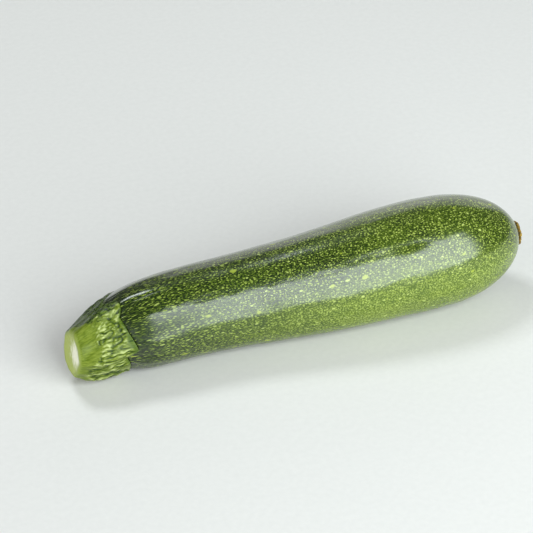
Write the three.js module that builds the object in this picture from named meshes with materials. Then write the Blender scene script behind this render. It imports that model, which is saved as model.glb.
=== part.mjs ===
// A courgette lying on its side: the fruit, the stub of stalk that it was cut by, and the dry scar of
// its flower. Millimetres, +Z up. X runs along the fruit from the cut (-X) to the blossom end (+X), and
// the belly rests on z = 0.

import * as THREE from "three";

const { degToRad, lerp, smoothstep } = THREE.MathUtils;

// Places along X are measured from the cut face, and angles from straight up, turning towards -Y.
const FRUIT_END = 201.5; // the blossom tip
const DOME_START = 163; // from here to the tip the outline is half an ellipse
const SEAM = 20.6; // where the stalk's foot ends, in the dips between its lobes
const SEAM_GAP = 0.3; // clearance between neighbouring pieces
const FOOT_STEP = 0.5; // the stalk's foot stands this far proud of the fruit's skin

// Both grow in fives: five ridges run down the stalk and fade along the fruit, with a lesser rib in each
// furrow and on each ridge. Heights are shares of the radius there.
const RIDGES = 5;
const FIRST_RIDGE = degToRad(8);
const CUT_RIDGE = 0.03;
const STALK_RIDGE = 0.075;
const STALK_RIB = 0.022;
const RIDGE_GROWS = 7; // from the cut to here the stalk's ridges rise to their full height
const RIDGE_SOFTENS = 11; // from here to the seam the stalk's ridges sink to the height of the fruit's
const SHOULDER_RIDGE = 0.04;
const SHOULDER_RIB = 0.02;
const BODY_RIDGE = 0.011;
const RIDGE_FADE = 15; // the fruit's ridges and ribs shrink by two thirds in this length

// The seam isn't a plain circle: each ridge ends in a pointed lobe that reaches over the fruit's shoulder.
const LOBE_REACH = 3.5; // how far a lobe runs past the dips beside it
const LOBE_UNEVEN = 0.5; // the first lobe has this share less than that, and those a quarter turn away more
const LOBE_LEAN = 1 / 15; // a lobe's tip lies past its ridge by this share of the turn from ridge to ridge
const LOBE_FALL = 1 / 5; // the short far side takes this share of that turn, because the lobes lean over
const LOBE_SWELL = 0.7; // below 1 the long side is swollen
const NOTCH_AT = degToRad(-20); // between two lobes the seam is cut back further than elsewhere
const NOTCH_DEPTH = 5;
const NOTCH_WIDTH = degToRad(15);
const WARP_REACH = 13; // the lobes' pull on the rings dies out this far from the seam

// On the near side, skin and foot are drawn in beside the seam, so that the shoulder bulges round it.
const PINCH_DEPTH = 1.3;
const PINCH_LENGTH = 16; // from the seam to where nothing of it is left
const PINCH_FROM = degToRad(5); // it is half as deep at these two angles
const PINCH_TO = degToRad(160);
const PINCH_BLUR = degToRad(20);
const PINCH_FOOT = 0.7; // the foot takes this share of it
const FLUSH_AT = degToRad(-60); // round here the foot lies flush with the skin instead
const FLUSH_SHARE = 0.8;

const CUT_EDGE = 1.2; // the cut's edge is rounded over this length
const CUT_SLANT = 0.08; // the knife went a little askew: the cut face recedes this much per mm sideways
const CUT_TILT = 0.14; // and this much per mm upwards
const CUT_REACH = 12; // the slant dies out this far from the cut

const SCAR_RADIUS = 5.3;
const SCAR_THICKNESS = 1.1;
const SCAR_SINK = 0.5; // how deep its back lies below the blossom tip
const SCAR_EDGE = 0.4; // how far its edge is drawn in at the back and the front
const SCAR_RIM = 0.9; // width of the crusty rim round its hollow middle
const SCAR_HOLLOW = 0.5;
const SCAR_RAGGED = 0.05; // how much its radius wavers
const STYLE_RADIUS = 0.9; // the stump of the flower's style, in the hollow
const STYLE_RISE = 0.2;

const SIDES = 75; // fifteen to a ridge, and the same on both sides of the seam
const SCAR_SIDES = 30;
const SHOULDER_END = 46; // rings are close together from the seam to here

// The centre line and size of the whole body: [along, radius, sideways y, height z].
// The heights keep the belly, from 55 to 165, a few tenths of a millimetre under the floor that flattens
// it.
const BODY = [
  [0, 9.4, -5.8, 15.8],
  [5, 11.5, -4.5, 15.5],
  [10, 13.3, -3.2, 15.9],
  [16, 14.9, -1.8, 16.8],
  [22, 16.1, -0.8, 17.8],
  [30, 17.8, -0.1, 18.1],
  [40, 18.7, 0.7, 18.4],
  [55, 19.1, 1.4, 18.8],
  [75, 19.7, 0.9, 19.4],
  [95, 20.8, -0.6, 20.5],
  [115, 22.2, -1.6, 21.9],
  [140, 23.6, -1.4, 23.3],
  [163, 23.8, -0.9, 23.5],
  [185, 20.0, -0.7, 23.4],
  [202, 10.0, -0.5, 23.4],
];
const bodyCurve = new THREE.CubicInterpolant(
  BODY.map(([along]) => along),
  BODY.flatMap(([, ...values]) => values),
  3,
);

// The body is closed by half an ellipse at the blossom end.
function bodyAt(along) {
  const [radius, y, z] = bodyCurve.evaluate(along);
  if (along <= DOME_START) return { radius, y, z };
  const share = Math.min(1, (along - DOME_START) / (FRUIT_END - DOME_START));
  const domeRadius = bodyCurve.evaluate(DOME_START)[0];
  return { radius: domeRadius * Math.sqrt(1 - share * share), y, z };
}

// 1 on each ridge and -1 in the furrows between, or the same for twice as many ribs.
function ridgeWave(angle, count = RIDGES) {
  return Math.cos(count * (angle - FIRST_RIDGE));
}

// Near the seam, rings are pulled along the fruit under each lobe.
function lobeShift(along, angle) {
  const turn = (RIDGES * (angle - FIRST_RIDGE)) / (2 * Math.PI) - LOBE_LEAN;
  const pastTip = turn - Math.floor(turn);
  const side = pastTip < LOBE_FALL ? 1 - pastTip / LOBE_FALL : (pastTip - LOBE_FALL) / (1 - LOBE_FALL);
  const uneven = 1 - LOBE_UNEVEN * Math.cos(2 * (angle - FIRST_RIDGE));
  const notch = NOTCH_DEPTH * Math.exp(-(((angle - NOTCH_AT) / NOTCH_WIDTH) ** 2));
  const fade = 1 - smoothstep(Math.abs(along - SEAM), 0, WARP_REACH);
  return (LOBE_REACH * side ** LOBE_SWELL * uneven - notch) * fade;
}

// How far skin and foot are drawn in beside the seam.
function pinch(along, angle) {
  const from = smoothstep(angle, PINCH_FROM - PINCH_BLUR, PINCH_FROM + PINCH_BLUR);
  const to = 1 - smoothstep(angle, PINCH_TO - PINCH_BLUR, PINCH_TO + PINCH_BLUR);
  return PINCH_DEPTH * from * to * (1 - smoothstep(Math.abs(along - SEAM), 0, PINCH_LENGTH));
}

// Turns a profile of [along, share] points about X, where a share of 0 is the middle and 1 the skin.
// shape(along, share, angle) then gives each vertex its own place along and its radius.
function turned(profile, sides, shape) {
  const points = profile.map(([along, share]) => new THREE.Vector2(share, along));
  const lathe = new THREE.LatheGeometry(points, sides, FIRST_RIDGE);
  lathe.deleteAttribute("normal");
  lathe.deleteAttribute("uv");
  const position = lathe.getAttribute("position");
  for (let i = 0; i < position.count; i++) {
    const share = Math.hypot(position.getX(i), position.getZ(i));
    const angle = Math.atan2(position.getX(i), position.getZ(i));
    const { along, radius } = shape(position.getY(i), share, angle);
    const centre = bodyAt(along);
    const y = centre.y - radius * Math.sin(angle);
    const z = centre.z + radius * Math.cos(angle);
    position.setXYZ(i, along, y, Math.max(z, 0));
  }
  return lathe;
}

function spread(from, to, steps) {
  return Array.from({ length: steps + 1 }, (_, i) => from + ((to - from) * i) / steps);
}

function fruitGeometry() {
  const start = SEAM + SEAM_GAP / 2;
  const seat = FRUIT_END - SCAR_SINK - SEAM_GAP;
  const shoulder = spread(start, SHOULDER_END, 14);
  const barrel = spread(SHOULDER_END, DOME_START, 16).slice(1);
  const domeTurn = Math.asin((seat - DOME_START) / (FRUIT_END - DOME_START));
  const dome = spread(0, domeTurn, 15)
    .slice(1)
    .map((turn) => DOME_START + (FRUIT_END - DOME_START) * Math.sin(turn));
  const skin = [...shoulder, ...barrel, ...dome].map((along) => [along, 1]);
  const profile = [[start, 0], [start, 0.5], ...skin, [seat, 0]];
  return turned(profile, SIDES, (ring, share, angle) => {
    const along = ring + lobeShift(ring, angle) * share ** 2;
    const fade = Math.exp(-(along - SEAM) / RIDGE_FADE);
    const beforeTip = 1 - smoothstep(along, DOME_START, FRUIT_END);
    const ridge = lerp(BODY_RIDGE, SHOULDER_RIDGE, fade) * ridgeWave(angle);
    const rib = SHOULDER_RIB * fade * ridgeWave(angle, 2 * RIDGES);
    const radius = bodyAt(along).radius * (1 + (ridge + rib) * beforeTip) - pinch(along, angle);
    return { along, radius: share * radius };
  });
}

function stalkGeometry() {
  const end = SEAM - SEAM_GAP / 2;
  const side = spread(CUT_EDGE, end, 13).map((along) => [along, 1]);
  const edge = CUT_EDGE / bodyAt(0).radius;
  const face = [[0, 0], [0, 0.5], [0, 1 - edge], [0.3 * CUT_EDGE, 1 - 0.3 * edge]];
  const profile = [...face, ...side, [end, 0.5], [end, 0]];
  return turned(profile, SIDES, (ring, share, angle) => {
    const nearCut = 1 - smoothstep(ring, 0, CUT_REACH);
    const slant = (CUT_SLANT * Math.sin(angle) + CUT_TILT * Math.cos(angle)) * share * bodyAt(ring).radius;
    const along = ring + lobeShift(ring, angle) * share ** 2 + slant * nearCut;
    const toFoot = smoothstep(ring, RIDGE_SOFTENS, end);
    const fromCut = smoothstep(ring, 0, RIDGE_GROWS);
    const ridge = lerp(CUT_RIDGE, STALK_RIDGE, fromCut) + (SHOULDER_RIDGE - STALK_RIDGE) * toFoot;
    const rib = lerp(STALK_RIB, SHOULDER_RIB, toFoot);
    const wave = ridge * ridgeWave(angle) + rib * ridgeWave(angle, 2 * RIDGES);
    const flush = FLUSH_SHARE * smoothstep(Math.cos(angle - FLUSH_AT), 0.4, 0.85);
    const proud = (FOOT_STEP * ring * (1 - flush)) / end - PINCH_FOOT * pinch(along, angle) * toFoot;
    return { along, radius: share * (bodyAt(along).radius + proud) * (1 + wave) };
  });
}

function scarGeometry() {
  const back = FRUIT_END - SCAR_SINK;
  const front = back + SCAR_THICKNESS;
  const rimOuter = SCAR_RADIUS - SCAR_EDGE;
  const rimInner = rimOuter - SCAR_RIM;
  const profile = [
    [back, 0],
    [back, rimOuter],
    [back + SCAR_EDGE, SCAR_RADIUS],
    [front, rimOuter],
    [front, rimInner],
    [front - SCAR_HOLLOW, rimInner - SCAR_RIM],
    [front - SCAR_HOLLOW, 1.5 * STYLE_RADIUS],
    [front + STYLE_RISE, STYLE_RADIUS],
    [front + STYLE_RISE, 0],
  ];
  const shares = profile.map(([along, radius]) => [along, radius / SCAR_RADIUS]);
  return turned(shares, SCAR_SIDES, (along, share, angle) => {
    const ragged = 1 + SCAR_RAGGED * (Math.sin(3 * angle + 1) + 0.6 * Math.sin(7 * angle));
    return { along, radius: share * SCAR_RADIUS * ragged };
  });
}

function piece(name, geometry, color, roughness) {
  const material = new THREE.MeshStandardMaterial({ color, roughness, metalness: 0 });
  const mesh = new THREE.Mesh(geometry, material);
  mesh.name = name;
  return mesh;
}

const courgette = new THREE.Group();
courgette.add(
  piece("fruit", fruitGeometry(), 0x45701f, 0.35),
  piece("stalk", stalkGeometry(), 0x93ad4a, 0.55),
  piece("flower_scar", scarGeometry(), 0x9a6b2c, 0.9),
);

// The origin is on the surface that the courgette lies on, under the middle of its bounding box.
const middle = new THREE.Box3().setFromObject(courgette).getCenter(new THREE.Vector3());
courgette.position.set(-middle.x, -middle.y, 0);

export default courgette;
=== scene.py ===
# %% [markdown]
# # A courgette, turned and grown in Blender
#
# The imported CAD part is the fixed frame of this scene: three plain solids, at the real size, lying on
# z = 0. Here they get the surface that the eye expects: a waxy skin full of pale flecks, a wrinkled stub of
# stalk, and a dry crust where the flower came away. Nothing here moves or resizes the frame.

# %% Load the frame
import math

import bmesh
import bpy
import numpy as np
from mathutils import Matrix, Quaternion, Vector, noise


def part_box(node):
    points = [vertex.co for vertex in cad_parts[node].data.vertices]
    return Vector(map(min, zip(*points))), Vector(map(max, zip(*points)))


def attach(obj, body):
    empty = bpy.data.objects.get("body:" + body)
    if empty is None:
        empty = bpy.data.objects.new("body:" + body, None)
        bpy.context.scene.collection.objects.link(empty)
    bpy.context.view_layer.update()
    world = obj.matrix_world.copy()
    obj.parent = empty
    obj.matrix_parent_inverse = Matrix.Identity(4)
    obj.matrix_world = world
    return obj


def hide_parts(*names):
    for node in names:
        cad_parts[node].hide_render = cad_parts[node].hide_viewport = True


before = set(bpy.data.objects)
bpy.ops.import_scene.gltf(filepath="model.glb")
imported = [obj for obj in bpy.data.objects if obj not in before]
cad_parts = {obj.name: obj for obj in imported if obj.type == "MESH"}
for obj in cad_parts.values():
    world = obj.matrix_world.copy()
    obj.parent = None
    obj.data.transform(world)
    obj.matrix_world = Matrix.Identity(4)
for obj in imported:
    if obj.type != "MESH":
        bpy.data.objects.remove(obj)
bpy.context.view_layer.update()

MM = 0.001

print("nodes of the frame:", sorted(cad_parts))

# %% [markdown]
# ## The body that all three pieces share
#
# A courgette is almost a turned thing: a row of circles on a centre line that bends a little. It could be
# sculpted by eye, but wouldn't fit the frame. So the body is the frame's own rule, written once more: a few
# stations, each with a radius and a middle, and smooth curves between them. Lengths are in millimetres.

# %% Stations of the body
FRUIT_END = 201.5
DOME_START = 163
SEAM = 20.6

# The columns are: place along, radius, sideways y and height z of the middle.
BODY = np.array([
    [0, 9.4, -5.8, 15.8],
    [5, 11.5, -4.5, 15.5],
    [10, 13.3, -3.2, 15.9],
    [16, 14.9, -1.8, 16.8],
    [22, 16.1, -0.8, 17.8],
    [30, 17.8, -0.1, 18.1],
    [40, 18.7, 0.7, 18.4],
    [55, 19.1, 1.4, 18.8],
    [75, 19.7, 0.9, 19.4],
    [95, 20.8, -0.6, 20.5],
    [115, 22.2, -1.6, 21.9],
    [140, 23.6, -1.4, 23.3],
    [163, 23.8, -0.9, 23.5],
    [185, 20.0, -0.7, 23.4],
    [202, 10.0, -0.5, 23.4],
])
PLACES = BODY[:, 0]
CHORDS = np.diff(BODY[:, 1:], axis=0) / np.diff(PLACES)[:, None]
SLOPES = np.vstack([CHORDS[:1], (CHORDS[:-1] + CHORDS[1:]) / 2, CHORDS[-1:]])
print(len(BODY), "stations, up to", PLACES[-1], "mm along")


# %% Smooth curves between the stations
def between_stations(along):
    """Radius, y and z of the curves through the stations."""
    i = np.clip(np.searchsorted(PLACES, along, side="right") - 1, 0, len(PLACES) - 2)
    span = PLACES[i + 1] - PLACES[i]
    t = ((along - PLACES[i]) / span)[..., None]
    span = span[..., None]
    start = (2 * t**3 - 3 * t**2 + 1) * BODY[i, 1:] + (t**3 - 2 * t**2 + t) * span * SLOPES[i]
    end = (3 * t**2 - 2 * t**3) * BODY[i + 1, 1:] + (t**3 - t**2) * span * SLOPES[i + 1]
    return np.moveaxis(start + end, -1, 0)


def body_at(along):
    """The same, closed by half an ellipse at the blossom end."""
    along = np.asarray(along, float)
    radius, y, z = between_stations(along)
    share = np.clip((along - DOME_START) / (FRUIT_END - DOME_START), 0, 1)
    dome = between_stations(np.full_like(along, DOME_START))[0] * np.sqrt(1 - share**2)
    return np.where(share > 0, dome, radius), y, z


for place in (0, 55, 140, 190):
    print(f"{place} mm along: radius {float(body_at(place)[0]):.1f} mm")

# %% [markdown]
# ## Ridges, ribs and lobes
#
# The flower has five parts, and so has everything that grew under it: five ridges run down the stalk, with
# a lesser rib in each furrow, and they fade out along the fruit. Where the stalk meets the fruit, each ridge
# ends in a pointed lobe that leans over and reaches onto the dark skin. They could be pulled out by hand,
# one by one. Here a cosine round the body makes the ridges, and a slanting saw tooth pulls the seam into
# lobes, because both are waves of the angle and keep to the frame. The angle is measured round the body,
# from straight up, turning towards -Y.

# %% Ridges on the skin
RIDGES = 5
FIRST_RIDGE = math.radians(8)
SHOULDER_RIDGE = 0.04
SHOULDER_RIB = 0.02
BODY_RIDGE = 0.011
RIDGE_FADE = 15


def smooth(value, low, high):
    """0 below low, 1 above high, and an S between them."""
    t = np.clip((value - low) / (high - low), 0, 1)
    return t * t * (3 - 2 * t)


def ridge_wave(angle, count=RIDGES):
    """1 on each ridge and -1 in the furrows."""
    return np.cos(count * (angle - FIRST_RIDGE))


def fruit_radius(along, angle):
    """Radius of the skin with its ridges and ribs."""
    fade = np.exp(-(along - SEAM) / RIDGE_FADE)
    before_tip = 1 - smooth(along, DOME_START, FRUIT_END)
    ridge = (BODY_RIDGE + (SHOULDER_RIDGE - BODY_RIDGE) * fade) * ridge_wave(angle)
    rib = SHOULDER_RIB * fade * ridge_wave(angle, 2 * RIDGES)
    return body_at(along)[0] * (1 + (ridge + rib) * before_tip)


print("radius on the first ridge at the seam:", round(float(fruit_radius(SEAM, FIRST_RIDGE)), 2), "mm")

# %% Lobes at the foot of the stalk
LOBE_REACH = 3.5
LOBE_UNEVEN = 0.5
LOBE_LEAN = 1 / 15
LOBE_FALL = 1 / 5
LOBE_SWELL = 0.7
NOTCH_AT = math.radians(-20)
NOTCH_DEPTH = 5
NOTCH_WIDTH = math.radians(15)
WARP_REACH = 13


def lobe_shift(along, angle):
    """How far a ring is pulled along the fruit under the lobes, in mm."""
    turn = RIDGES * (angle - FIRST_RIDGE) / math.tau - LOBE_LEAN
    past_tip = turn - np.floor(turn)
    long_side = (past_tip - LOBE_FALL) / (1 - LOBE_FALL)
    side = np.where(past_tip < LOBE_FALL, 1 - past_tip / LOBE_FALL, long_side)
    uneven = 1 - LOBE_UNEVEN * np.cos(2 * (angle - FIRST_RIDGE))
    notch = NOTCH_DEPTH * np.exp(-(((angle - NOTCH_AT) / NOTCH_WIDTH) ** 2))
    fade = 1 - smooth(np.abs(along - SEAM), 0, WARP_REACH)
    return (LOBE_REACH * np.clip(side, 0, 1) ** LOBE_SWELL * uneven - notch) * fade


seam_line = SEAM + lobe_shift(SEAM, np.linspace(-math.pi, math.pi, 360))
print("the seam lies between", seam_line.min().round(1), "and", seam_line.max().round(1), "mm along")

# %% [markdown]
# ## From the body to the frame
#
# A point is known by how far along it is, how far out and at what angle. One function turns that into a
# place about the bent centre line, and presses whatever would be below the floor flat, which is the strip
# that the courgette lies on. The frame's origin is under the middle of its box. That could be copied as two
# numbers, but here it is measured on a net of points, so the two always agree.

# %% Find the frame's origin
SCAR_SEAT = 0.8


def placed(along, radius, angle):
    """Turns along, radius and angle into points about the bent centre line."""
    _, y, z = body_at(along)
    height = np.maximum(z + radius * np.cos(angle), 0)
    return np.stack([along, y - radius * np.sin(angle), height], axis=-1)


seat = FRUIT_END - SCAR_SEAT
net_along, net_angle = np.meshgrid(np.linspace(SEAM, seat, 400), np.linspace(0, math.tau, 400))
own = placed(net_along, fruit_radius(net_along, net_angle), net_angle).reshape(-1, 3)
fruit_lo, fruit_hi = (np.array(corner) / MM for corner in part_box("fruit"))
SHIFT = np.array([
    fruit_hi[0] - own[:, 0].max(),
    (fruit_lo[1] + fruit_hi[1]) / 2 - (own[:, 1].min() + own[:, 1].max()) / 2,
    0,
])
print("shift into the frame, in mm:", SHIFT.round(2))

# %% [markdown]
# ## Turning a blank
#
# Each piece starts as a blank: a line of points that says how far along and how far out it goes, where 1 is
# the skin, spun once round X. A stretched sphere would do too, but it crowds its faces at the ends. The spin
# gives even quads all round, ready for a pattern. Then each vertex moves to where the real surface is, and
# takes along the marks that its material needs.

# %% Spin a profile
def rings(low, high, steps):
    """Points of a profile on the skin from low to high, without the first."""
    return [(low + (high - low) * i / steps, 1) for i in range(1, steps + 1)]


def spun(profile, sides):
    """A blank: a line of (along, share) points, spun once round X."""
    blank = bmesh.new()
    sine, cosine = math.sin(FIRST_RIDGE), math.cos(FIRST_RIDGE)
    points = [blank.verts.new((along, -share * sine, share * cosine)) for along, share in profile]
    lines = [blank.edges.new(pair) for pair in zip(points, points[1:])]
    bmesh.ops.spin(
        blank,
        geom=points + lines,
        cent=(0, 0, 0),
        axis=(1, 0, 0),
        dvec=(0, 0, 0),
        angle=math.tau,
        steps=sides,
        use_merge=True,
    )
    bmesh.ops.remove_doubles(blank, verts=blank.verts, dist=1e-5)
    return blank


trial = spun(rings(0, 10, 5), 8)
print("a trial blank of 5 points and 8 sides has", len(trial.faces), "faces")
trial.free()


# %% Shape a blank into a piece
def shaped(bm, shape):
    """Moves the vertices of a blank to where shape() says, and returns its marks."""
    blank = np.array([vertex.co for vertex in bm.verts])
    share = np.hypot(blank[:, 1], blank[:, 2])
    angle = np.arctan2(-blank[:, 1], blank[:, 2])
    places, marks = shape(blank[:, 0], share, angle)
    for vertex, place in zip(bm.verts, (places + SHIFT) * MM):
        vertex.co = place
    bmesh.ops.recalc_face_normals(bm, faces=bm.faces)
    for face in bm.faces:
        face.smooth = True
    return marks


def turned(name, profile, sides, shape):
    """A piece of the courgette: a spun profile, shaped and marked."""
    bm = spun(profile, sides)
    marks = shaped(bm, shape)
    mesh = bpy.data.meshes.new(name)
    bm.to_mesh(mesh)
    bm.free()
    for mark, values in marks.items():
        vector = values.ndim == 2
        layer = mesh.attributes.new(mark, "FLOAT_VECTOR" if vector else "FLOAT", "POINT")
        layer.data.foreach_set("vector" if vector else "value", values.astype(np.float32).ravel())
    piece = bpy.data.objects.new(name, mesh)
    bpy.context.scene.collection.objects.link(piece)
    print(f"{name}: {len(mesh.polygons)} faces, {[round(size / MM, 1) for size in piece.dimensions]} mm")
    return piece


print("turned() takes a name, a profile, its sides and a shape")

# %% [markdown]
# ## What a point remembers of its growth
#
# The flecks of the skin were laid down when the fruit was tiny, and stretched as it grew, most of all near
# the stalk. A pattern on plain coordinates would show round flecks everywhere. So each vertex keeps a place
# of its own, as if the body were straight, in which lengths near the stalk count for less. A round fleck
# there comes out as a dash. The neck has also grown less in girth, so the flecks lie closer round it.

# %% Unstretched places
FLECK_STRETCH = 1.5
STALK_STRETCH = 4.2
STRETCH_FADE = 18
TIP_STRETCH_LESS = 0.2
TIP_ROUNDS = (150, 195)
FULL_GIRTH = 21
NECK_CROWDING = 0.35


def fade_from_seam(along, length):
    """1 at the seam, fading over a length in mm along the fruit."""
    return np.exp(-np.clip(along - SEAM, 0, None) / length)


stretch_along = np.linspace(-5, 210, 860)
stretch = FLECK_STRETCH + STALK_STRETCH * fade_from_seam(stretch_along, STRETCH_FADE)
stretch = stretch - TIP_STRETCH_LESS * smooth(stretch_along, *TIP_ROUNDS)
unstretched = np.cumsum(np.gradient(stretch_along) / stretch)


def grown(along, radius, angle):
    """A vertex's place, in mm, on the straight and unstretched body."""
    place = np.interp(along, stretch_along, unstretched)
    crowding = 1 + NECK_CROWDING * fade_from_seam(along, STRETCH_FADE)
    girth = FULL_GIRTH * (radius / FULL_GIRTH) ** 0.5 * crowding
    return np.stack([place, -girth * np.sin(angle), girth * np.cos(angle)], axis=-1)


print("length of the unstretched body in mm:", round(float(unstretched[-1]), 1))

# %% [markdown]
# ## The relief of the skin
#
# The skin is taut, but not perfect: it swells and sinks by a tenth of a millimetre or so, in long soft
# patches. The eye would never see that as a shape, but it does see how the edge of a reflection wavers on
# it. Bump in the material could draw it, but then the mesh would lack it. So the relief is real geometry,
# drawn with noise that is stretched along the fruit.

# %% Soft swells
SKIN_SWELL = 0.16

# Each row is: share of that height, stretch along the fruit, width in mm, and an offset into the noise.
SWELLS = [(1, 3.5, 9, 0), (0.36, 2.5, 3.2, 5), (0.2, 7, 2.2, 7)]


def wander(points, size, octaves=2, offset=0):
    """Smooth noise from about -1 to 1 at each point, with features about size mm wide."""
    step = Vector((offset, 0.37 * offset, 0))
    return np.array([noise.fractal(Vector(point) / size + step, 1, 2, octaves) for point in points])


def straightened(along, radius, angle):
    """A point's place on a straight body, on which the noise is drawn."""
    return np.stack([along, -radius * np.sin(angle), radius * np.cos(angle)], axis=-1)


def swells(straight):
    """Height of the long soft patches, in mm."""
    return sum(
        share * SKIN_SWELL * wander(straight / (stretched, 1, 1), width, offset=offset)
        for share, stretched, width, offset in SWELLS
    )


print("the widest swells are", SWELLS[0][1] * SWELLS[0][2], "mm long")

# %% [markdown]
# ## The shoulder beside the seam
#
# The fruit grew round its stalk, so on the near side and underneath its shoulder is drawn in beside the seam
# and pulled into short puckers. That turns the skin by the seam away from the light. The drawing in is one
# smooth fall towards the seam, which the frame has too, and the puckers are noise that fades away from it.

# %% Draw the shoulder in
PINCH_DEPTH = 1.3
PINCH_LENGTH = 16
PINCH_FROM = math.radians(5)
PINCH_TO = math.radians(160)
PINCH_BLUR = math.radians(20)


def pinch(along, angle):
    """How far skin and foot are drawn in beside the seam, in mm."""
    near_side = smooth(angle, PINCH_FROM - PINCH_BLUR, PINCH_FROM + PINCH_BLUR)
    near_side = near_side * (1 - smooth(angle, PINCH_TO - PINCH_BLUR, PINCH_TO + PINCH_BLUR))
    return PINCH_DEPTH * near_side * (1 - smooth(np.abs(along - SEAM), 0, PINCH_LENGTH))


print("drawn in 5 mm from the seam by", round(float(pinch(SEAM + 5, math.radians(80))), 2), "mm")

# %% Pucker the shoulder
PUCKER_HEIGHT = 0.28
PUCKER_WIDTH = 2.8
PUCKER_STRETCH = 3.5
PUCKER_FADE = 18
PUCKER_SIDE = math.radians(80)
PUCKER_FAR_SIDE = 0.3


def puckers(along, angle, straight):
    """Height of the short puckers by the seam, in mm."""
    near_seam = np.exp(-(along - SEAM) / PUCKER_FADE)
    near_side = smooth(np.cos(angle - PUCKER_SIDE), -0.4, 0.2)
    near_side = PUCKER_FAR_SIDE + (1 - PUCKER_FAR_SIDE) * near_side
    pattern = wander(straight / (PUCKER_STRETCH, 1, 1), PUCKER_WIDTH, offset=9)
    return PUCKER_HEIGHT * near_side * near_seam * pattern


print("puckers are", PUCKER_WIDTH, "mm wide and", round(PUCKER_WIDTH * PUCKER_STRETCH, 1), "mm long")

# %% [markdown]
# ## A dent and a groove
#
# Every courgette has marks of its own. This one has a shallow dent near the blossom end, soft above and
# sharper below, and a fine groove beside the top ridge on the shoulder. Both are bell curves over the
# surface, which blend in by themselves where a sculpted mark would need smoothing.

# %% Marks of its own
DENT_DEPTH = 0.75
DENT_ALONG = 144
DENT_ANGLE = math.radians(37)
DENT_LENGTH = 7
DENT_ABOVE = math.radians(25)
DENT_BELOW = math.radians(9)
GROOVE_DEPTH = 0.18
GROOVE_ANGLE = math.radians(13)
GROOVE_WIDTH = math.radians(2.2)
GROOVE_ENDS = (36, 50)


def dent(along, angle):
    """Depth of the shallow dent, in mm."""
    past_dent = angle - DENT_ANGLE
    width = np.where(past_dent > 0, DENT_BELOW, DENT_ABOVE)
    return DENT_DEPTH * np.exp(-(((along - DENT_ALONG) / DENT_LENGTH) ** 2) - (past_dent / width) ** 2)


def groove(along, angle):
    """Depth of the fine groove, in mm."""
    across = np.exp(-(((angle - GROOVE_ANGLE) / GROOVE_WIDTH) ** 2))
    return GROOVE_DEPTH * across * (1 - smooth(along, *GROOVE_ENDS))


print("the dent is", dent(DENT_ALONG, DENT_ANGLE), "mm deep, and the groove", groove(30, GROOVE_ANGLE), "mm")

# %% [markdown]
# ## What the skin's material needs to know
#
# The low side is paler, and the skin grows paler towards the blossom end: partly the skin's own colour, on
# the side that lay on the soil, and partly painted light from below. Beside the stalk the skin is darker, as
# painted shade. The wax is dull in a patch by the shoulder and rubbed thin on the low side. Each of these
# could be painted on the mesh.
# Here they are worked out from each vertex's place, and kept with it as a number from 0 to 1.

# %% Marks on the skin
PALE_SIDE = math.radians(116)
PALE_NECK = 0.12
PALE_STARTS = (22, 40)
PALE_GROWS = (40, 140)
RIPE_PALE = 0.22
RIPE_PALE_GROWS = (100, 140)
TIP_DARKER = 0.4
TIP_DARKENS = (165, 190)
SHOULDER_FADE = 9
RIPENS = (30, 170)
LOW_SIDE = (-0.1, 0.5)
DULL_SIDE = math.radians(63)
DULL_WIDTH = math.radians(16)
DULL_ENDS = (34, 72)


def skin_marks(along, angle, plain):
    """The growth, colour and wax of each vertex of the fruit."""
    # Paler on the low side: partly its own colour, partly painted light from below.
    pale_and_lit = smooth(np.cos(angle - PALE_SIDE), 0.45, 0.95)
    pale_and_lit = pale_and_lit * (PALE_NECK + (1 - PALE_NECK) * smooth(along, *PALE_GROWS)) * smooth(along, *PALE_STARTS)
    # Paler towards the blossom end: partly riper colour, partly painted light.
    ripe_pale_and_lit = RIPE_PALE * smooth(along, *RIPE_PALE_GROWS) * (1 - TIP_DARKER * smooth(along, *TIP_DARKENS))
    dull_side = np.exp(-(((angle - DULL_SIDE) / DULL_WIDTH) ** 2))
    return {
        "grown": grown(along, plain, angle),
        "pale_and_lit": pale_and_lit + ripe_pale_and_lit * (1 - pale_and_lit),
        "shoulder": fade_from_seam(along, SHOULDER_FADE),
        "ripe": smooth(along, *RIPENS),
        "rubbed": smooth(-np.cos(angle), *LOW_SIDE),
        "dull": (1 - smooth(along, *DULL_ENDS)) * dull_side,
    }


half_way = skin_marks(100.0, PALE_SIDE, 20.0)
print("half way along, the low side is", round(float(half_way["pale_and_lit"]), 2), "pale_and_lit")

# %% [markdown]
# ## The fruit
#
# Now the fruit is turned. Its rings lie closest by the seam and on the dome, where the surface bends most.
# The foot of the blank has a tiny rounded edge, so that the seam shows as a fine dark line. The relief
# belongs to the skin alone, so it fades out where the end faces turn inwards.

# %% Model the fruit
FRUIT_SIDES = 225
SEAT_GAP = 0.1
FOOT_EDGE = 0.25
NECK_END = 50
NECK_RINGS = 56
BODY_RINGS = 100
DOME_RINGS = 40


def on_skin(share):
    """1 on the skin and 0 further in."""
    return smooth(share, 0.9, 1)


def fruit_shape(ring, share, angle):
    """Where the vertices of the fruit go, and their marks."""
    along = ring + lobe_shift(ring, angle) * share**2
    plain = share * fruit_radius(along, angle)
    straight = straightened(along, plain, angle)
    relief = swells(straight) + puckers(along, angle, straight)
    relief = relief - dent(along, angle) - groove(along, angle) - pinch(along, angle)
    return placed(along, plain + relief * on_skin(share), angle), skin_marks(along, angle, plain)


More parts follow.
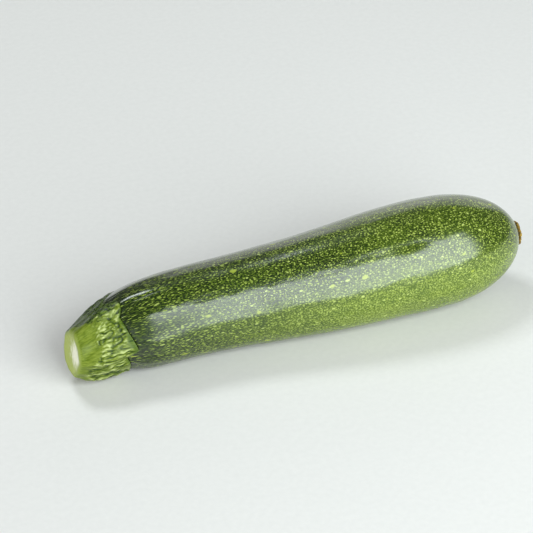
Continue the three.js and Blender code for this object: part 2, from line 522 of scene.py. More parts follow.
start = SEAM + SEAT_GAP / 2
fruit_profile = [(start, 0), (start, 0.5), (start, 0.97), (start + 0.06, 0.99), (start + FOOT_EDGE, 1)]
fruit_profile += rings(start + FOOT_EDGE, NECK_END, NECK_RINGS)
fruit_profile += rings(NECK_END, DOME_START, BODY_RINGS)
dome_turn = math.asin((seat - DOME_START) / (FRUIT_END - DOME_START))
for i in range(1, DOME_RINGS + 1):
    turn = dome_turn * i / DOME_RINGS
    fruit_profile.append((DOME_START + (FRUIT_END - DOME_START) * math.sin(turn), 1))
fruit_profile += [(seat, 0.5), (seat, 0)]
fruit = turned("courgette_fruit", fruit_profile, FRUIT_SIDES, fruit_shape)

# %% [markdown]
# ## The stalk's form
#
# This is the stub of the peduncle, the stem that fed the fruit. Its five ridges are strongest half way
# down, and its foot stands proud of the skin, but lies flush at the back and is drawn in with the shoulder
# on the near side. It could be one mesh with the fruit, but it is another organ with a seam of its own.

# %% Ridges and foot of the stalk
STALK_END = SEAM - SEAT_GAP / 2
CUT_RIDGE = 0.03
STALK_RIDGE = 0.075
STALK_RIB = 0.022
RIDGE_GROWS = 7
RIDGE_SOFTENS = 11
FOOT_STEP = 0.5
FLUSH_AT = math.radians(-60)
FLUSH_SHARE = 0.8
PINCH_FOOT = 0.7


def stalk_wave(ring, angle):
    """Ridges and ribs of the stalk, as a share of its radius."""
    from_cut = smooth(ring, 0, RIDGE_GROWS)
    to_foot = smooth(ring, RIDGE_SOFTENS, STALK_END)
    ridge = CUT_RIDGE + (STALK_RIDGE - CUT_RIDGE) * from_cut + (SHOULDER_RIDGE - STALK_RIDGE) * to_foot
    rib = STALK_RIB + (SHOULDER_RIB - STALK_RIB) * to_foot
    return ridge * ridge_wave(angle) + rib * ridge_wave(angle, 2 * RIDGES)


def foot_step(ring, along, angle):
    """How far the stalk stands proud of the body, in mm."""
    flush = smooth(np.cos(angle - FLUSH_AT), 0.4, 0.85)
    drawn_in = PINCH_FOOT * pinch(along, angle) * smooth(ring, RIDGE_SOFTENS, STALK_END)
    return FOOT_STEP * ring / STALK_END * (1 - FLUSH_SHARE * flush) - drawn_in


print("the foot stands proud at the top by", round(float(foot_step(STALK_END, SEAM, 0)), 2), "mm")

# %% [markdown]
# ## The stalk's folds
#
# Near the cut the rind is smooth. Further down, where the stalk grips the fruit, it is corky and crumpled
# into short folds that run lengthwise, up to the smooth lip beside the seam. They are half a millimetre
# high, which bump couldn't show at the outline, so they are modelled: creases where noise passes through
# zero, stretched about three times along the stalk, and more underneath. Each vertex remembers how high it
# stands, because its colour paints a highlight on the crests and shade in the grooves.

# %% Where the stalk is folded
FOLD_START = 9.3
FOLD_START_BELOW = 5
FOLD_START_RAGGED = 1.6
LIP_WIDTH = 0.6
LIP_RAGGED = 0.5
LIP_BLUR = 0.7
UNDERSIDE = math.radians(125)

# Each row is: an angle at which the lip is wider, by how many mm, and the cosine at which that starts.
LIP_WIDER = [(math.radians(74), 1.4, 0.93), (math.radians(38), 0.5, 0.97)]


def under_stalk(angle):
    """1 on the underside of the stalk and 0 elsewhere."""
    return smooth(np.cos(angle - UNDERSIDE), 0.5, 0.95)


def calm_lip(ring, angle, straight):
    """1 on the smooth lip beside the seam."""
    width = LIP_WIDTH
    for middle, wider, edge in LIP_WIDER:
        width = width + wider * smooth(np.cos(angle - middle), edge, 0.99)
    width = width + LIP_RAGGED * wander(straight, 3, offset=90)
    return smooth(ring, STALK_END - width - LIP_BLUR, STALK_END - width + LIP_BLUR)


def folded_part(ring, angle, straight):
    """1 where the rind is crumpled, which starts earlier on the underside."""
    ragged = FOLD_START_RAGGED * wander(straight, 3, offset=80)
    fold_start = FOLD_START - FOLD_START_BELOW * under_stalk(angle) + ragged
    return smooth(ring, fold_start - 1, fold_start + 1.5)


print("the folds start about", FOLD_START, "mm from the cut, and end", LIP_WIDTH, "mm before the seam")

# %% Height of the folds
FOLD_HEIGHT = 0.66
FOLD_WIDTH = 2.5
FOLD_STRETCH = 2.6
FOLD_STRETCH_BELOW = 2
SWAY_WIDTH = 5


def fold_height(angle, straight):
    """From 0 in the grooves to 1 on the crests."""
    sway = np.stack([wander(straight, SWAY_WIDTH, offset=offset) for offset in (20, 30, 40)], axis=-1)
    swayed = straight + sway
    swayed[:, 0] = swayed[:, 0] / (FOLD_STRETCH + FOLD_STRETCH_BELOW * under_stalk(angle))
    broad = 1 - np.exp(-7 * np.abs(wander(swayed, FOLD_WIDTH, octaves=1, offset=3)))
    narrow = 1 - np.exp(-5 * np.abs(wander(swayed, 0.5 * FOLD_WIDTH, octaves=1, offset=6)))
    crumple = wander(swayed / (0.6, 1, 1), 0.4 * FOLD_WIDTH, offset=16)
    return np.clip(0.55 * broad + 0.3 * narrow + 0.3 * crumple + 0.05, 0, 1)


print("a fold is", FOLD_WIDTH, "mm wide and", FOLD_WIDTH * FOLD_STRETCH, "mm long")

# %% [markdown]
# ## The stalk's sunny side and its cut
#
# From the top round the back the rind saw the sun, and is dark with a ragged edge. The knife left the cut
# face slanted, a little hollow and rough, with a paler core off its middle. The dark and the core are only
# colour, so they are marks. The slant and the hollow change the outline, so they are shape.

# %% Sunny side and cut face
SUNNY_EDGE = math.radians(12)
SUNNY_LESS_AT_CUT = math.radians(50)
SUNNY_RAGGED = math.radians(7)
SUNNY_BLUR = math.radians(4)
CUT_SLANT = 0.08
CUT_TILT = 0.14
CUT_REACH = 12
CUT_DISH = 0.5
CUT_GRAIN = 0.12


def sunny_side(along, angle, straight):
    """1 where the rind is dark, from the top round the back."""
    edge = SUNNY_EDGE - SUNNY_LESS_AT_CUT * (1 - smooth(along, 1, 8))
    ragged = SUNNY_RAGGED * wander(straight, 3, offset=60)
    return smooth(edge + ragged - angle, -SUNNY_BLUR, SUNNY_BLUR) * smooth(angle, -2.2, -1.7)


def cut_slant(ring, share, angle):
    """How far the tilt of the cut moves a vertex along, in mm."""
    tilt = CUT_SLANT * np.sin(angle) + CUT_TILT * np.cos(angle)
    return tilt * share * body_at(ring)[0] * (1 - smooth(ring, 0, CUT_REACH))


def cut_hollow(ring, share, straight):
    """How deep the cut face lies, in mm, with its grain."""
    on_cut = (ring < 0.01) * (1 - smooth(share, 0.7, 0.9))
    return on_cut * (CUT_DISH * (1 - share**2) + CUT_GRAIN * wander(straight, 1.6, offset=50))


def cut_core(share, angle, straight):
    """1 in the pale core, which lies off the middle."""
    off_core = np.hypot(share * np.cos(angle) - 0.18, share * np.sin(angle) - 0.38)
    return 1 - smooth(off_core + 0.2 * wander(straight / (1, 1, 2), 1.2, offset=55), 0.2, 0.75)


print("the cut leans by", round(math.degrees(math.atan(math.hypot(CUT_SLANT, CUT_TILT))), 1), "degrees")

# %% Model the stalk
STALK_SIDES = 285
CUT_EDGE = 1.2
CUT_RINGS = 18
EDGE_RINGS = 5
STALK_RINGS = 62
FOOT_LIP = 0.5
FOOT_RINGS = 4
FOOT_RADIUS = 15
SOFT_HEIGHT = 0.12


def stalk_shape(ring, share, angle):
    """Where the vertices of the stalk go, and their marks."""
    along = ring + lobe_shift(ring, angle) * share**2 + cut_slant(ring, share, angle)
    radius = body_at(along)[0] + foot_step(ring, along, angle)
    plain = share * radius * (1 + stalk_wave(ring, angle))
    straight = straightened(along, plain, angle)

    calm = calm_lip(ring, angle, straight)
    folded = folded_part(ring, angle, straight) * (1 - calm)
    folds = fold_height(angle, straight)
    soft = SOFT_HEIGHT * wander(straight / (2, 1, 1), 4, offset=12)
    relief = FOLD_HEIGHT * folded * (folds - 0.5) + soft

    hollowed = along + cut_hollow(ring, share, straight)
    return placed(hollowed, plain + relief * on_skin(share), angle), {
        "grown": grown(hollowed, plain, angle),
        "fold": folds * on_skin(share),
        "folded": folded * on_skin(share),
        "calm": calm * on_skin(share),
        "cut": 1 - smooth(ring, 0, CUT_EDGE),
        "share": share,
        "core": cut_core(share, angle, straight),
        "sunny": sunny_side(along, angle, straight),
    }


edge_share = CUT_EDGE / BODY[0, 1]
lip_share = FOOT_LIP / FOOT_RADIUS
lip_start = STALK_END - FOOT_LIP
stalk_profile = [(0, (1 - edge_share) * i / CUT_RINGS) for i in range(CUT_RINGS + 1)]
for i in range(1, EDGE_RINGS + 1):
    bend = math.pi / 2 * i / EDGE_RINGS
    stalk_profile.append((CUT_EDGE * (1 - math.cos(bend)), 1 - edge_share * (1 - math.sin(bend))))
stalk_profile += rings(CUT_EDGE, lip_start, STALK_RINGS)
for i in range(1, FOOT_RINGS + 1):
    bend = math.pi / 2 * i / FOOT_RINGS
    stalk_profile.append((lip_start + FOOT_LIP * math.sin(bend), 1 - lip_share * (1 - math.cos(bend))))
stalk_profile += [(STALK_END, 0.9), (STALK_END, 0.5), (STALK_END, 0)]
stalk = turned("courgette_stalk", stalk_profile, STALK_SIDES, stalk_shape)

# %% [markdown]
# ## The flower scar
#
# The flower dries and falls, and leaves a thin brown crust with a raised rim and the stump of its style.
# The frame's plain disc with a rough material might do, but a crust is broken at its edge. So it is turned
# again with more rings, and noise cracks the rim.

# %% Model the scar
SCAR_SIDES = 120
SCAR_RADIUS = 5.3
SCAR_THICKNESS = 1.1
SCAR_SINK = 0.5
SCAR_EDGE = 0.4
SCAR_RIM = 0.9
SCAR_HOLLOW = 0.5
SCAR_STEP = 0.25
STYLE_RADIUS = 0.9
STYLE_HEIGHT = 0.1
RAGGED = 0.05
CRACK_WIDTH = 1.3
CRACK_OUT = 0.25
CRACK_UP = 0.22


def scar_shape(along, share, angle):
    """Where the vertices of the scar go, and how far each stands out of its cracks."""
    ragged = 1 + RAGGED * (np.sin(3 * angle + 1) + 0.6 * np.sin(7 * angle))
    radius = share * SCAR_RADIUS * ragged
    straight = straightened(along, radius, angle)
    crust = wander(straight, CRACK_WIDTH, octaves=3, offset=70)
    at_front = smooth(along, FRUIT_END - SCAR_SINK, FRUIT_END)
    radius = radius + CRACK_OUT * crust * smooth(share, 0.6, 1) * at_front
    along = along + CRACK_UP * crust * at_front
    return placed(along, radius, angle), {"grown": straight, "crust": crust}


back = FRUIT_END - SCAR_SINK
front = back + SCAR_THICKNESS
rim_out = SCAR_RADIUS - SCAR_EDGE
rim_in = rim_out - SCAR_RIM
corners = [
    (back, 0),
    (back, rim_out),
    (back + SCAR_EDGE, SCAR_RADIUS),
    (front, rim_out),
    (front, rim_in),
    (front - SCAR_HOLLOW, rim_in - SCAR_RIM),
    (front - SCAR_HOLLOW, 1.5 * STYLE_RADIUS),
    (front + STYLE_HEIGHT, STYLE_RADIUS),
    (front + STYLE_HEIGHT, 0),
]
scar_profile = [(back, 0)]
for (along_a, radius_a), (along_b, radius_b) in zip(corners, corners[1:]):
    steps = max(1, round(math.hypot(along_b - along_a, radius_b - radius_a) / SCAR_STEP))
    for i in range(1, steps + 1):
        along_i = along_a + (along_b - along_a) * i / steps
        radius_i = radius_a + (radius_b - radius_a) * i / steps
        scar_profile.append((along_i, radius_i / SCAR_RADIUS))
scar = turned("courgette_flower_scar", scar_profile, SCAR_SIDES, scar_shape)

# %% [markdown]
# ## Tie the pieces to the frame
#
# Each piece stands for one plain solid of the frame, and takes its place there. Nothing on a courgette
# moves, so they all ride on the one body that there is.

# %% Ride and replace
PIECES = [
    (fruit, "fruit", "skin"),
    (stalk, "stalk", "stalk"),
    (scar, "flower_scar", "scar"),
]
for piece, node, slot in PIECES:
    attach(piece, "root")
    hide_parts(node)
    print(piece.name, "stands for", node, "and takes its finish from", slot)

# %% [markdown]
# ## Small tools for materials
#
# A material is a graph of nodes. It could be drawn by hand in the editor, but a script can be read and
# changed. One function adds a node with its settings and links, and one turns a colour as a picture shows
# it, in sRGB hex, into the linear numbers that a shader adds up.

# %% Colours and nodes
MIX_FACTOR, MIX_A, MIX_B, MIX_RESULT = 0, 6, 7, 2


def linear(colour):
    """An sRGB hex colour as linear RGBA."""
    values = [int(colour[i : i + 2], 16) / 255 for i in (1, 3, 5)]
    rgb = [value / 12.92 if value <= 0.04045 else ((value + 0.055) / 1.055) ** 2.4 for value in values]
    return rgb + [1]


def add(tree, kind, inputs, **settings):
    """Adds a node, gives it its settings, and sets or links its inputs."""
    node = tree.nodes.new(kind)
    for name, value in settings.items():
        setattr(node, name, value)
    for socket, value in inputs.items():
        if isinstance(value, bpy.types.NodeSocket):
            tree.links.new(value, node.inputs[socket])
        else:
            node.inputs[socket].default_value = value
    return node


def new_material(name, piece):
    """The empty node tree of a new material on a piece."""
    material = bpy.data.materials.new(name)
    material.use_nodes = True
    material.node_tree.nodes.clear()
    piece.data.materials.append(material)
    return material.node_tree


print("mid grey #808080 is", round(linear("#808080")[0], 3), "in linear light")

# %% [markdown]
# ## The skin's ground
#
# Courgette skin is a thin green rind under a waxy cuticle, grown smooth and taut. The clear wax mirrors the
# lamp in one broad soft band, and everything under it is colour. A picture could be wrapped round it, but
# nodes stay sharp and follow the marks on the mesh. The ground is dark green with clouds of a lighter green.
# It is paler on the low side and towards the blossom end, partly the skin's own colour on the side that lay
# on the soil and partly painted light. It is darkest beside the stalk, as painted shade.

# %% Ground of the skin
CLOUD_WIDTH = 14
CLOUDED = {"dark": ("#112002", "#1f3305"), "light": ("#3e570a", "#566b07")}
# Painted shade: the darkest green, laid on the skin beside the stalk.
PAINTED_SHADE_BY_STALK = linear("#112005")

skin = new_material("waxy courgette skin", fruit)
skin_place = add(skin, "ShaderNodeAttribute", {}, attribute_name="grown").outputs["Vector"]
on_fruit = {}
for mark in ("pale_and_lit", "shoulder", "ripe", "dull", "rubbed"):
    on_fruit[mark] = add(skin, "ShaderNodeAttribute", {}, attribute_name=mark).outputs["Fac"]

cloud = add(skin, "ShaderNodeTexNoise", {"Vector": skin_place, "Scale": 1 / CLOUD_WIDTH, "Detail": 4})
cloud = add(
    skin,
    "ShaderNodeMapRange",
    {"Value": cloud.outputs["Fac"], "From Min": 0.3, "From Max": 0.7},
).outputs["Result"]
greens = {}
for name, (deep, bright) in CLOUDED.items():
    greens[name] = add(
        skin,
        "ShaderNodeMix",
        {MIX_FACTOR: cloud, MIX_A: linear(deep), MIX_B: linear(bright)},
        data_type="RGBA",
    ).outputs[MIX_RESULT]
# Paler on the low side and towards the blossom end, partly as painted light.
ground = add(
    skin,
    "ShaderNodeMix",
    {MIX_FACTOR: on_fruit["pale_and_lit"], MIX_A: greens["dark"], MIX_B: greens["light"]},
    data_type="RGBA",
).outputs[MIX_RESULT]
# Darkest beside the stalk, as painted shade.
ground = add(
    skin,
    "ShaderNodeMix",
    {MIX_FACTOR: on_fruit["shoulder"], MIX_A: ground, MIX_B: PAINTED_SHADE_BY_STALK},
    data_type="RGBA",
).outputs[MIX_RESULT]
print("the ground has", len(skin.nodes), "nodes, and clouds", CLOUD_WIDTH, "mm wide")

# %% [markdown]
# ## The skin's net
#
# Between the flecks the eye sees a fine net: dots and short threads of pale cells, less than a millimetre
# apart. Single dots that small would come out as glitter. So they are drawn where a fine noise is high,
# which gives soft dots that run together here and there. The net thins out beside the stalk.

# %% Net of pale cells
NET_SPACING = 0.8
NET_FEATURES = 1.75
NET_THINS = 0.12
NET_STRENGTH = 0.5
NET_ON_DARK, NET_ON_PALE = linear("#6a8022"), linear("#a6b84a")

net = add(
    skin,
    "ShaderNodeTexNoise",
    {"Vector": skin_place, "Scale": NET_FEATURES / NET_SPACING, "Detail": 1, "Roughness": 0.4},
).outputs["Fac"]
thinner = add(
    skin,
    "ShaderNodeMath",
    {0: on_fruit["shoulder"], 1: NET_THINS},
    operation="MULTIPLY",
).outputs[0]
net = add(skin, "ShaderNodeMath", {0: net, 1: thinner}, operation="SUBTRACT").outputs[0]
net = add(
    skin,
    "ShaderNodeMapRange",
    {"Value": net, "From Min": 0.46, "From Max": 0.62, "To Max": NET_STRENGTH},
    interpolation_type="SMOOTHSTEP",
).outputs["Result"]
# The net is paler there too, along with the painted light.
net_colour = add(
    skin,
    "ShaderNodeMix",
    {MIX_FACTOR: on_fruit["pale_and_lit"], MIX_A: NET_ON_DARK, MIX_B: NET_ON_PALE},
    data_type="RGBA",
).outputs[MIX_RESULT]
skin_colour = add(
    skin,
    "ShaderNodeMix",
    {MIX_FACTOR: net, MIX_A: ground, MIX_B: net_colour},
    data_type="RGBA",
).outputs[MIX_RESULT]
print("the net has a dot every", NET_SPACING, "mm")

# %% [markdown]
# ## The skin's flecks
#
# Over the net lie flecks of four sizes, from pinpoints less than a millimetre apart to a yellow-green blotch
# now and then. Each size is a layer of Voronoi cells with a fleck in the middle of each. A cell has random
# numbers of its own: one sets the size of its fleck, and one leaves the fleck out by chance. The place that
# they are drawn at is shaken a little first, or they would be perfect discs.

# %% Flecks of four sizes
SHAKE_WIDTH = 1.3
SHAKE = (0.6, 0.6, 0.6)
CELL_DISORDER = 0.8
LEFT_AT_SHOULDER = 0.45

# Each row is: spacing in mm, share of cells that hold a fleck, radius in cells, softness, strength, and the
# colours of a fleck near the stalk and towards the blossom end.
FLECKS = [
    (0.78, 1.0, (0.30, 0.43), 0.14, 0.71, "#98aa48", "#b2c25e"),
    (2.3, 0.3, (0.14, 0.21), 0.07, 0.75, "#a3b25c", "#bccb70"),
    (3.8, 0.65, (0.11, 0.17), 0.05, 0.85, "#a9b95e", "#bccb6c"),
    (6.5, 0.8, (0.08, 0.17), 0.05, 0.85, "#94a232", "#9fae34"),
]

shake = add(skin, "ShaderNodeTexNoise", {"Vector": skin_place, "Scale": 1 / SHAKE_WIDTH, "Detail": 1})
shaken = add(
    skin,
    "ShaderNodeVectorMath",
    {0: shake.outputs["Color"], 1: SHAKE, 2: skin_place},
    operation="MULTIPLY_ADD",
).outputs["Vector"]
for spacing, share, sizes, soft, strength, young, mature in FLECKS:
    cells = add(
        skin,
        "ShaderNodeTexVoronoi",
        {"Vector": shaken, "Scale": 1 / spacing, "Randomness": CELL_DISORDER},
    )
    chance = add(skin, "ShaderNodeSeparateColor", {"Color": cells.outputs["Color"]})
    size = add(
        skin,
        "ShaderNodeMapRange",
        {"Value": chance.outputs["Red"], "To Min": sizes[0], "To Max": sizes[1]},
    ).outputs["Result"]
    share_here = add(
        skin,
        "ShaderNodeMapRange",
        {"Value": on_fruit["shoulder"], "To Min": share, "To Max": LEFT_AT_SHOULDER * share},
    ).outputs["Result"]
    held = add(
        skin,
        "ShaderNodeMath",
        {0: chance.outputs["Green"], 1: share_here},
        operation="LESS_THAN",
    ).outputs[0]
    inner = add(skin, "ShaderNodeMath", {0: size, 1: soft}, operation="SUBTRACT").outputs[0]
    fleck = add(
        skin,
        "ShaderNodeMapRange",
        {
            "Value": cells.outputs["Distance"],
            "From Min": inner,
            "From Max": size,
            "To Min": strength,
            "To Max": 0,
        },
        interpolation_type="SMOOTHSTEP",
    ).outputs["Result"]
    fleck = add(skin, "ShaderNodeMath", {0: fleck, 1: held}, operation="MULTIPLY").outputs[0]
    fleck_colour = add(
        skin,
        "ShaderNodeMix",
        {MIX_FACTOR: on_fruit["ripe"], MIX_A: linear(young), MIX_B: linear(mature)},
        data_type="RGBA",
    ).outputs[MIX_RESULT]
    skin_colour = add(
        skin,
        "ShaderNodeMix",
        {MIX_FACTOR: fleck, MIX_A: skin_colour, MIX_B: fleck_colour},
        data_type="RGBA",
    ).outputs[MIX_RESULT]
    print(f"flecks every {spacing} mm are up to {2 * sizes[1] * spacing:.1f} mm across")

# %% [markdown]
# ## The skin's wax
#
# Plant wax is a clear, soft coat that light mostly passes through. It could be a second thin shell, but the
# shader has a coat for that, over a skin that shines a little by itself. The coat is thin on the low side
# and in the dull patch by the shoulder, where the mirrored lamp is weaker. A grain of a tenth of a
# millimetre keeps the reflection from looking like glass.

# %% Wax and grain of the skin
SKIN_IOR = 1.45
WAX_IOR = 1.5
WAX_ROUGHNESS = 0.19
WAX_WEIGHT = 0.6
FRESH_ROUGHNESS, DULL_ROUGHNESS = 0.24, 0.42


def grained(tree, place, width, height, detail, strength):
    """The normal of a surface with a fine grain, whose width and height are in mm."""
    grain = add(tree, "ShaderNodeTexNoise", {"Vector": place, "Scale": 1 / width, "Detail": detail})
    relief = {"Height": grain.outputs["Fac"], "Strength": strength, "Distance": height * MM}
    return add(tree, "ShaderNodeBump", relief).outputs["Normal"]


skin_bump = grained(skin, skin_place, width=0.9, height=0.1, detail=2, strength=0.4)
skin_roughness = add(
    skin,
    "ShaderNodeMapRange",
    {"Value": on_fruit["dull"], "To Min": FRESH_ROUGHNESS, "To Max": DULL_ROUGHNESS},
).outputs["Result"]
thin_wax = add(
    skin,
    "ShaderNodeMath",
    {0: on_fruit["dull"], 1: on_fruit["rubbed"]},
    operation="MAXIMUM",
).outputs[0]
wax = add(
    skin,
    "ShaderNodeMapRange",
    {"Value": thin_wax, "To Min": WAX_WEIGHT, "To Max": 0.0},
).outputs["Result"]
skin_shader = add(
    skin,
    "ShaderNodeBsdfPrincipled",
    {
        "Base Color": skin_colour,
        "Roughness": skin_roughness,
        "IOR": SKIN_IOR,
        "Coat Weight": wax,
        "Coat Roughness": WAX_ROUGHNESS,
        "Coat IOR": WAX_IOR,
        "Normal": skin_bump,
        "Coat Normal": skin_bump,
    },
)
add(skin, "ShaderNodeOutputMaterial", {"Surface": skin_shader.outputs["BSDF"]})
print("the skin has", len(skin.nodes), "nodes")

# %% [markdown]
# ## The stalk's rind
#
# Fresh peduncle has a firm, fibrous rind with a satin shine. It is streaked yellow-green where it is smooth.
# In its folds, the grooves are painted deep green as painted shade, and the crests pale as a painted
# highlight. The height that each vertex remembers picks the colour.

# %% Rind and folds
STREAK_WIDTH = 1.1
# The groove colours are painted shade in the folds.
STREAKED = {"rind": ("#50640c", "#808f34"), "groove": ("#142803", "#3a5208"), "lip": ("#2c460a", "#64792a")}
CREST_HIGHLIGHT = linear("#bfcb84")
CREST_HIGHLIGHT_STRENGTH = 0.9

rind = new_material("fibrous green peduncle", stalk)
rind_place = add(rind, "ShaderNodeAttribute", {}, attribute_name="grown").outputs["Vector"]
on_stalk = {}
for mark in ("fold", "folded", "sunny", "calm", "cut", "share", "core"):
    on_stalk[mark] = add(rind, "ShaderNodeAttribute", {}, attribute_name=mark).outputs["Fac"]

streak = add(rind, "ShaderNodeTexNoise", {"Vector": rind_place, "Scale": 1 / STREAK_WIDTH, "Detail": 4})
streak = add(
    rind,
    "ShaderNodeMapRange",
    {"Value": streak.outputs["Fac"], "From Min": 0.3, "From Max": 0.7},
).outputs["Result"]
layers = {}
for name, (deep, bright) in STREAKED.items():
    layers[name] = add(
        rind,
        "ShaderNodeMix",
        {MIX_FACTOR: streak, MIX_A: linear(deep), MIX_B: linear(bright)},
        data_type="RGBA",
    ).outputs[MIX_RESULT]
print("the rind is streaked every", STREAK_WIDTH, "mm")

# %% Colour of the folds
# Grooves take the darker green as painted shade.
flank = add(
    rind,
    "ShaderNodeMapRange",
    {"Value": on_stalk["fold"], "From Min": 0.34, "From Max": 0.66},
).outputs["Result"]
groove_shaded_rind = add(
    rind,
    "ShaderNodeMix",
    {MIX_FACTOR: flank, MIX_A: layers["groove"], MIX_B: layers["rind"]},
    data_type="RGBA",
).outputs[MIX_RESULT]
# Crests take a pale colour as a painted highlight.
painted_crest_highlight = add(
    rind,
    "ShaderNodeMapRange",
    {"Value": on_stalk["fold"], "From Min": 0.68, "From Max": 0.95, "To Max": CREST_HIGHLIGHT_STRENGTH},
).outputs["Result"]
layers["folds"] = add(
    rind,
    "ShaderNodeMix",
    {MIX_FACTOR: painted_crest_highlight, MIX_A: groove_shaded_rind, MIX_B: CREST_HIGHLIGHT},
    data_type="RGBA",
).outputs[MIX_RESULT]
print("colours of the rind so far:", sorted(layers))

# %% [markdown]
# ## The stalk's dark side and cut
#
# The side that saw the sun is dark and mottled, like the fruit. Its mottling didn't stretch, so it is drawn
# on the object's own coordinates. The cut shows moist pale flesh, nearly white at the core, in a thin green
# rim. Both are laid over the rind by their marks, because separate materials would meet in a hard line.

# %% Sunny side
MOTTLE_WIDTH = 0.95
SUNNY_DARK, SUNNY_LIGHT = linear("#182a07"), linear("#586d26")

own_place = add(rind, "ShaderNodeTexCoord", {}).outputs["Object"]
mottle = add(
    rind,
    "ShaderNodeTexNoise",
    {"Vector": own_place, "Scale": 1 / (MOTTLE_WIDTH * MM), "Detail": 2},
).outputs["Fac"]
mottle = add(
    rind,
    "ShaderNodeMapRange",
    {"Value": mottle, "From Min": 0.42, "From Max": 0.62},
    interpolation_type="SMOOTHSTEP",
).outputs["Result"]
layers["sunny"] = add(
    rind,
    "ShaderNodeMix",
    {MIX_FACTOR: mottle, MIX_A: SUNNY_DARK, MIX_B: SUNNY_LIGHT},
    data_type="RGBA",
).outputs[MIX_RESULT]
print("the dark side is mottled every", MOTTLE_WIDTH, "mm")

# %% Cut face
FLESH, CORE = linear("#afbc60"), linear("#fbfbe2")
RIM_GREEN = linear("#8c9c40")
RIM_STARTS = 0.74

flesh = add(
    rind,
    "ShaderNodeMix",
    {MIX_FACTOR: on_stalk["core"], MIX_A: FLESH, MIX_B: CORE},
    data_type="RGBA",
).outputs[MIX_RESULT]
rim = add(
    rind,
    "ShaderNodeMapRange",
    {"Value": on_stalk["share"], "From Min": RIM_STARTS, "From Max": 1.0},
    interpolation_type="SMOOTHSTEP",
).outputs["Result"]
layers["cut"] = add(
    rind,
    "ShaderNodeMix",
    {MIX_FACTOR: rim, MIX_A: flesh, MIX_B: RIM_GREEN},
    data_type="RGBA",
).outputs[MIX_RESULT]
print("the green rim takes the outer", round(1 - RIM_STARTS, 2), "of the cut's radius")

# %% Lay them over the rind
rind_colour = layers["rind"]
for mark, layer in (("folded", "folds"), ("calm", "lip"), ("sunny", "sunny"), ("cut", "cut")):
    rind_colour = add(
        rind,
        "ShaderNodeMix",
        {MIX_FACTOR: on_stalk[mark], MIX_A: rind_colour, MIX_B: layers[layer]},
        data_type="RGBA",
    ).outputs[MIX_RESULT]
    print(f"{layer}: where the mark {mark} is 1")

# %% Satin of the stalk
RIND_ROUGHNESS = 0.35
RIND_IOR = 1.45
RIND_SPECULAR = 0.28

rind_bump = grained(rind, rind_place, width=0.7, height=0.2, detail=3, strength=0.4)
rind_shader = add(
    rind,
    "ShaderNodeBsdfPrincipled",
    {
        "Base Color": rind_colour,
        "Roughness": RIND_ROUGHNESS,
        "IOR": RIND_IOR,
        "Specular IOR Level": RIND_SPECULAR,
        "Normal": rind_bump,
    },
)
add(rind, "ShaderNodeOutputMaterial", {"Surface": rind_shader.outputs["BSDF"]})
print("the stalk has", len(rind.nodes), "nodes")

# %% [markdown]
# ## The crust of the scar
#
# Dead plant tissue dries to a brown, cork-like crust: matt, darker in its cracks and ochre on its rim. A
# wood pattern would show rings that a scar doesn't have. The height that the noise gave each vertex picks
# the colour instead, so that the dark always lies in the cracks.

# %% Dry cork
CRACK_BROWN, RIM_OCHRE = linear("#4e3a10"), linear("#a5852f")
CORK_ROUGHNESS = 0.85

cork = new_material("dry corky crust", scar)
cork_place = add(cork, "ShaderNodeAttribute", {}, attribute_name="grown").outputs["Vector"]
crust_height = add(cork, "ShaderNodeAttribute", {}, attribute_name="crust").outputs["Fac"]
crust_height = add(
    cork,
    "ShaderNodeMapRange",
    {"Value": crust_height, "From Min": -0.5, "From Max": 0.5},
).outputs["Result"]
cork_colour = add(
    cork,
    "ShaderNodeMix",
    {MIX_FACTOR: crust_height, MIX_A: CRACK_BROWN, MIX_B: RIM_OCHRE},
    data_type="RGBA",
).outputs[MIX_RESULT]
cork_bump = grained(cork, cork_place, width=0.5, height=0.2, detail=3, strength=0.5)
cork_shader = add(
    cork,
    "ShaderNodeBsdfPrincipled",
    {"Base Color": cork_colour, "Roughness": CORK_ROUGHNESS, "Normal": cork_bump},
)
add(cork, "ShaderNodeOutputMaterial", {"Surface": cork_shader.outputs["BSDF"]})
print("the crust has", len(cork.nodes), "nodes")

# %% [markdown]
# ## Floor
#
# A plain pale sheet of matt paper, just under the belly. A curved backdrop would do as well, but the camera
# looks down and sees no horizon. A faint fibre keeps the paper from being one flat tone, and it is a touch
# warm, because the main lamp is a touch cool.

# %% Lay the floor
FLOOR_SIZE = 6.0
FLOOR_GAP = 0.05
FIBRES_PER_METRE = 400
PAPER_DARK, PAPER_LIGHT = linear("#dcdad8"), linear("#e4e2e0")

bm = bmesh.new()
bmesh.ops.create_grid(bm, x_segments=8, y_segments=8, size=FLOOR_SIZE / 2)
bmesh.ops.translate(bm, verts=bm.verts, vec=(0, 0, -FLOOR_GAP * MM))
floor_mesh = bpy.data.meshes.new("pale_floor")
bm.to_mesh(floor_mesh)
bm.free()
floor = bpy.data.objects.new("pale_floor", floor_mesh)
bpy.context.scene.collection.objects.link(floor)

paper = new_material("matt white paper", floor)
floor_place = add(paper, "ShaderNodeTexCoord", {}).outputs["Object"]
fibre = add(paper, "ShaderNodeTexNoise", {"Vector": floor_place, "Scale": FIBRES_PER_METRE, "Detail": 2})
paper_colour = add(
    paper,
    "ShaderNodeMix",
    {MIX_FACTOR: fibre.outputs["Fac"], MIX_A: PAPER_DARK, MIX_B: PAPER_LIGHT},
    data_type="RGBA",
).outputs[MIX_RESULT]
paper_shader = add(paper, "ShaderNodeBsdfPrincipled", {"Base Color": paper_colour, "Roughness": 0.9})
add(paper, "ShaderNodeOutputMaterial", {"Surface": paper_shader.outputs["BSDF"]})
print("the floor is", FLOOR_SIZE, "m wide, and", FLOOR_GAP, "mm under the belly")

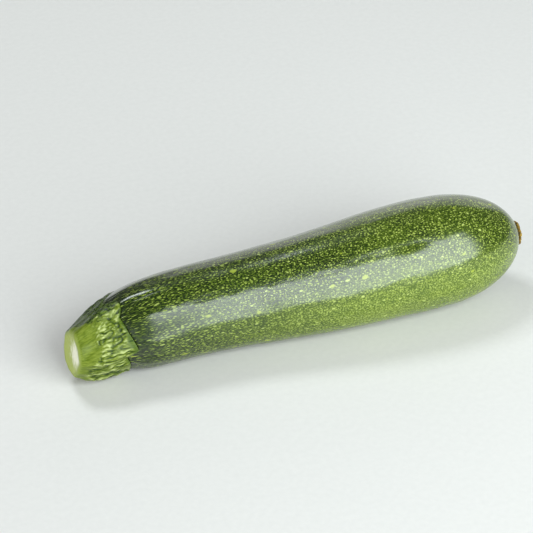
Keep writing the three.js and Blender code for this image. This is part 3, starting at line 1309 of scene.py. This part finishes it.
# %% [markdown]
# ## Light
#
# The wax shows where the lamps are, so four plain lamps are placed by their reflections, where a picture of
# a studio could not be. A large softbox to the right of the camera gives the broad band along the flank. A
# panel on the left lights the cut, a panel behind gives the top edge its grey rim, and a narrow strip high
# at the back draws the thin line on the ridge by the stalk. The softbox and the strip are slightly cool.

# %% Set up the lights
TARGET = Vector((0, 0, 22 * MM))
COOL = "#f6ffff"


def lamp(name, azimuth, elevation, distance, width, height, brightness, yaw=0, slide=0, tint="#ffffff"):
    """A rectangular lamp. Azimuth 0 is the -Y side, and it turns towards +X.

    It faces the courgette, unless yaw turns it about its upright axis. Slide shifts it along its own width.
    """
    a, e = math.radians(azimuth), math.radians(elevation)
    towards = Vector((math.sin(a) * math.cos(e), -math.cos(a) * math.cos(e), math.sin(e)))
    light = bpy.data.lights.new(name, "AREA")
    light.shape = "RECTANGLE"
    light.size = width
    light.size_y = height
    light.energy = brightness * math.pi * width * height
    light.color = linear(tint)[:3]
    holder = bpy.data.objects.new(name, light)
    facing = towards.to_track_quat("Z", "Y") @ Quaternion((0, 1, 0), math.radians(yaw))
    holder.rotation_euler = facing.to_euler()
    holder.location = TARGET + towards * distance + facing @ Vector((slide, 0, 0))
    holder.visible_camera = False
    bpy.context.scene.collection.objects.link(holder)
    print(f"{name}: {width} x {height} m, {light.energy:.1f} W")


aside = {"yaw": -35, "slide": 0.13, "tint": COOL}
lamp("softbox", azimuth=22, elevation=28, distance=1.2, width=1.35, height=1.14, brightness=6, **aside)
lamp("left_panel", azimuth=-75, elevation=20, distance=1.5, width=1.2, height=1.0, brightness=2.2)
lamp("back_panel", azimuth=148, elevation=16, distance=1.6, width=1.3, height=0.9, brightness=0.9)
lamp("back_strip", azimuth=200, elevation=62, distance=1.2, width=0.4, height=0.34, brightness=12, tint=COOL)

# %% Light from all round
ROOM_LIGHT = 0.11

world = bpy.data.worlds.new("studio")
world.use_nodes = True
background = world.node_tree.nodes["Background"]
background.inputs["Color"].default_value = linear("#ffffff")
background.inputs["Strength"].default_value = ROOM_LIGHT
bpy.context.scene.world = world
bpy.context.scene.view_settings.view_transform = "Standard"
print("the room adds an even light of", ROOM_LIGHT)

# %% [markdown]
# ## Camera
#
# The camera looks down on the courgette from its stalk end, a metre away, through a long lens. A nearer
# camera with a shorter lens would swell the end that is close to it. The picture is square.

# %% Place the camera
VIEW_AZIMUTH = math.radians(-20.18)
VIEW_ELEVATION = math.radians(36.5)
VIEW_DISTANCE = 1.0
VIEW_TARGET = Vector((-7.01, 18.61, 20.34)) * MM
VIEW_LENS = 158.77

towards = Vector((
    math.sin(VIEW_AZIMUTH) * math.cos(VIEW_ELEVATION),
    -math.cos(VIEW_AZIMUTH) * math.cos(VIEW_ELEVATION),
    math.sin(VIEW_ELEVATION),
))
camera = bpy.data.objects.new("camera", bpy.data.cameras.new("camera"))
camera.data.lens = VIEW_LENS
camera.location = VIEW_TARGET + towards * VIEW_DISTANCE
camera.rotation_euler = towards.to_track_quat("Z", "Y").to_euler()
bpy.context.scene.collection.objects.link(camera)
bpy.context.scene.camera = camera
print("the camera is at", [round(value, 3) for value in camera.location], "m")
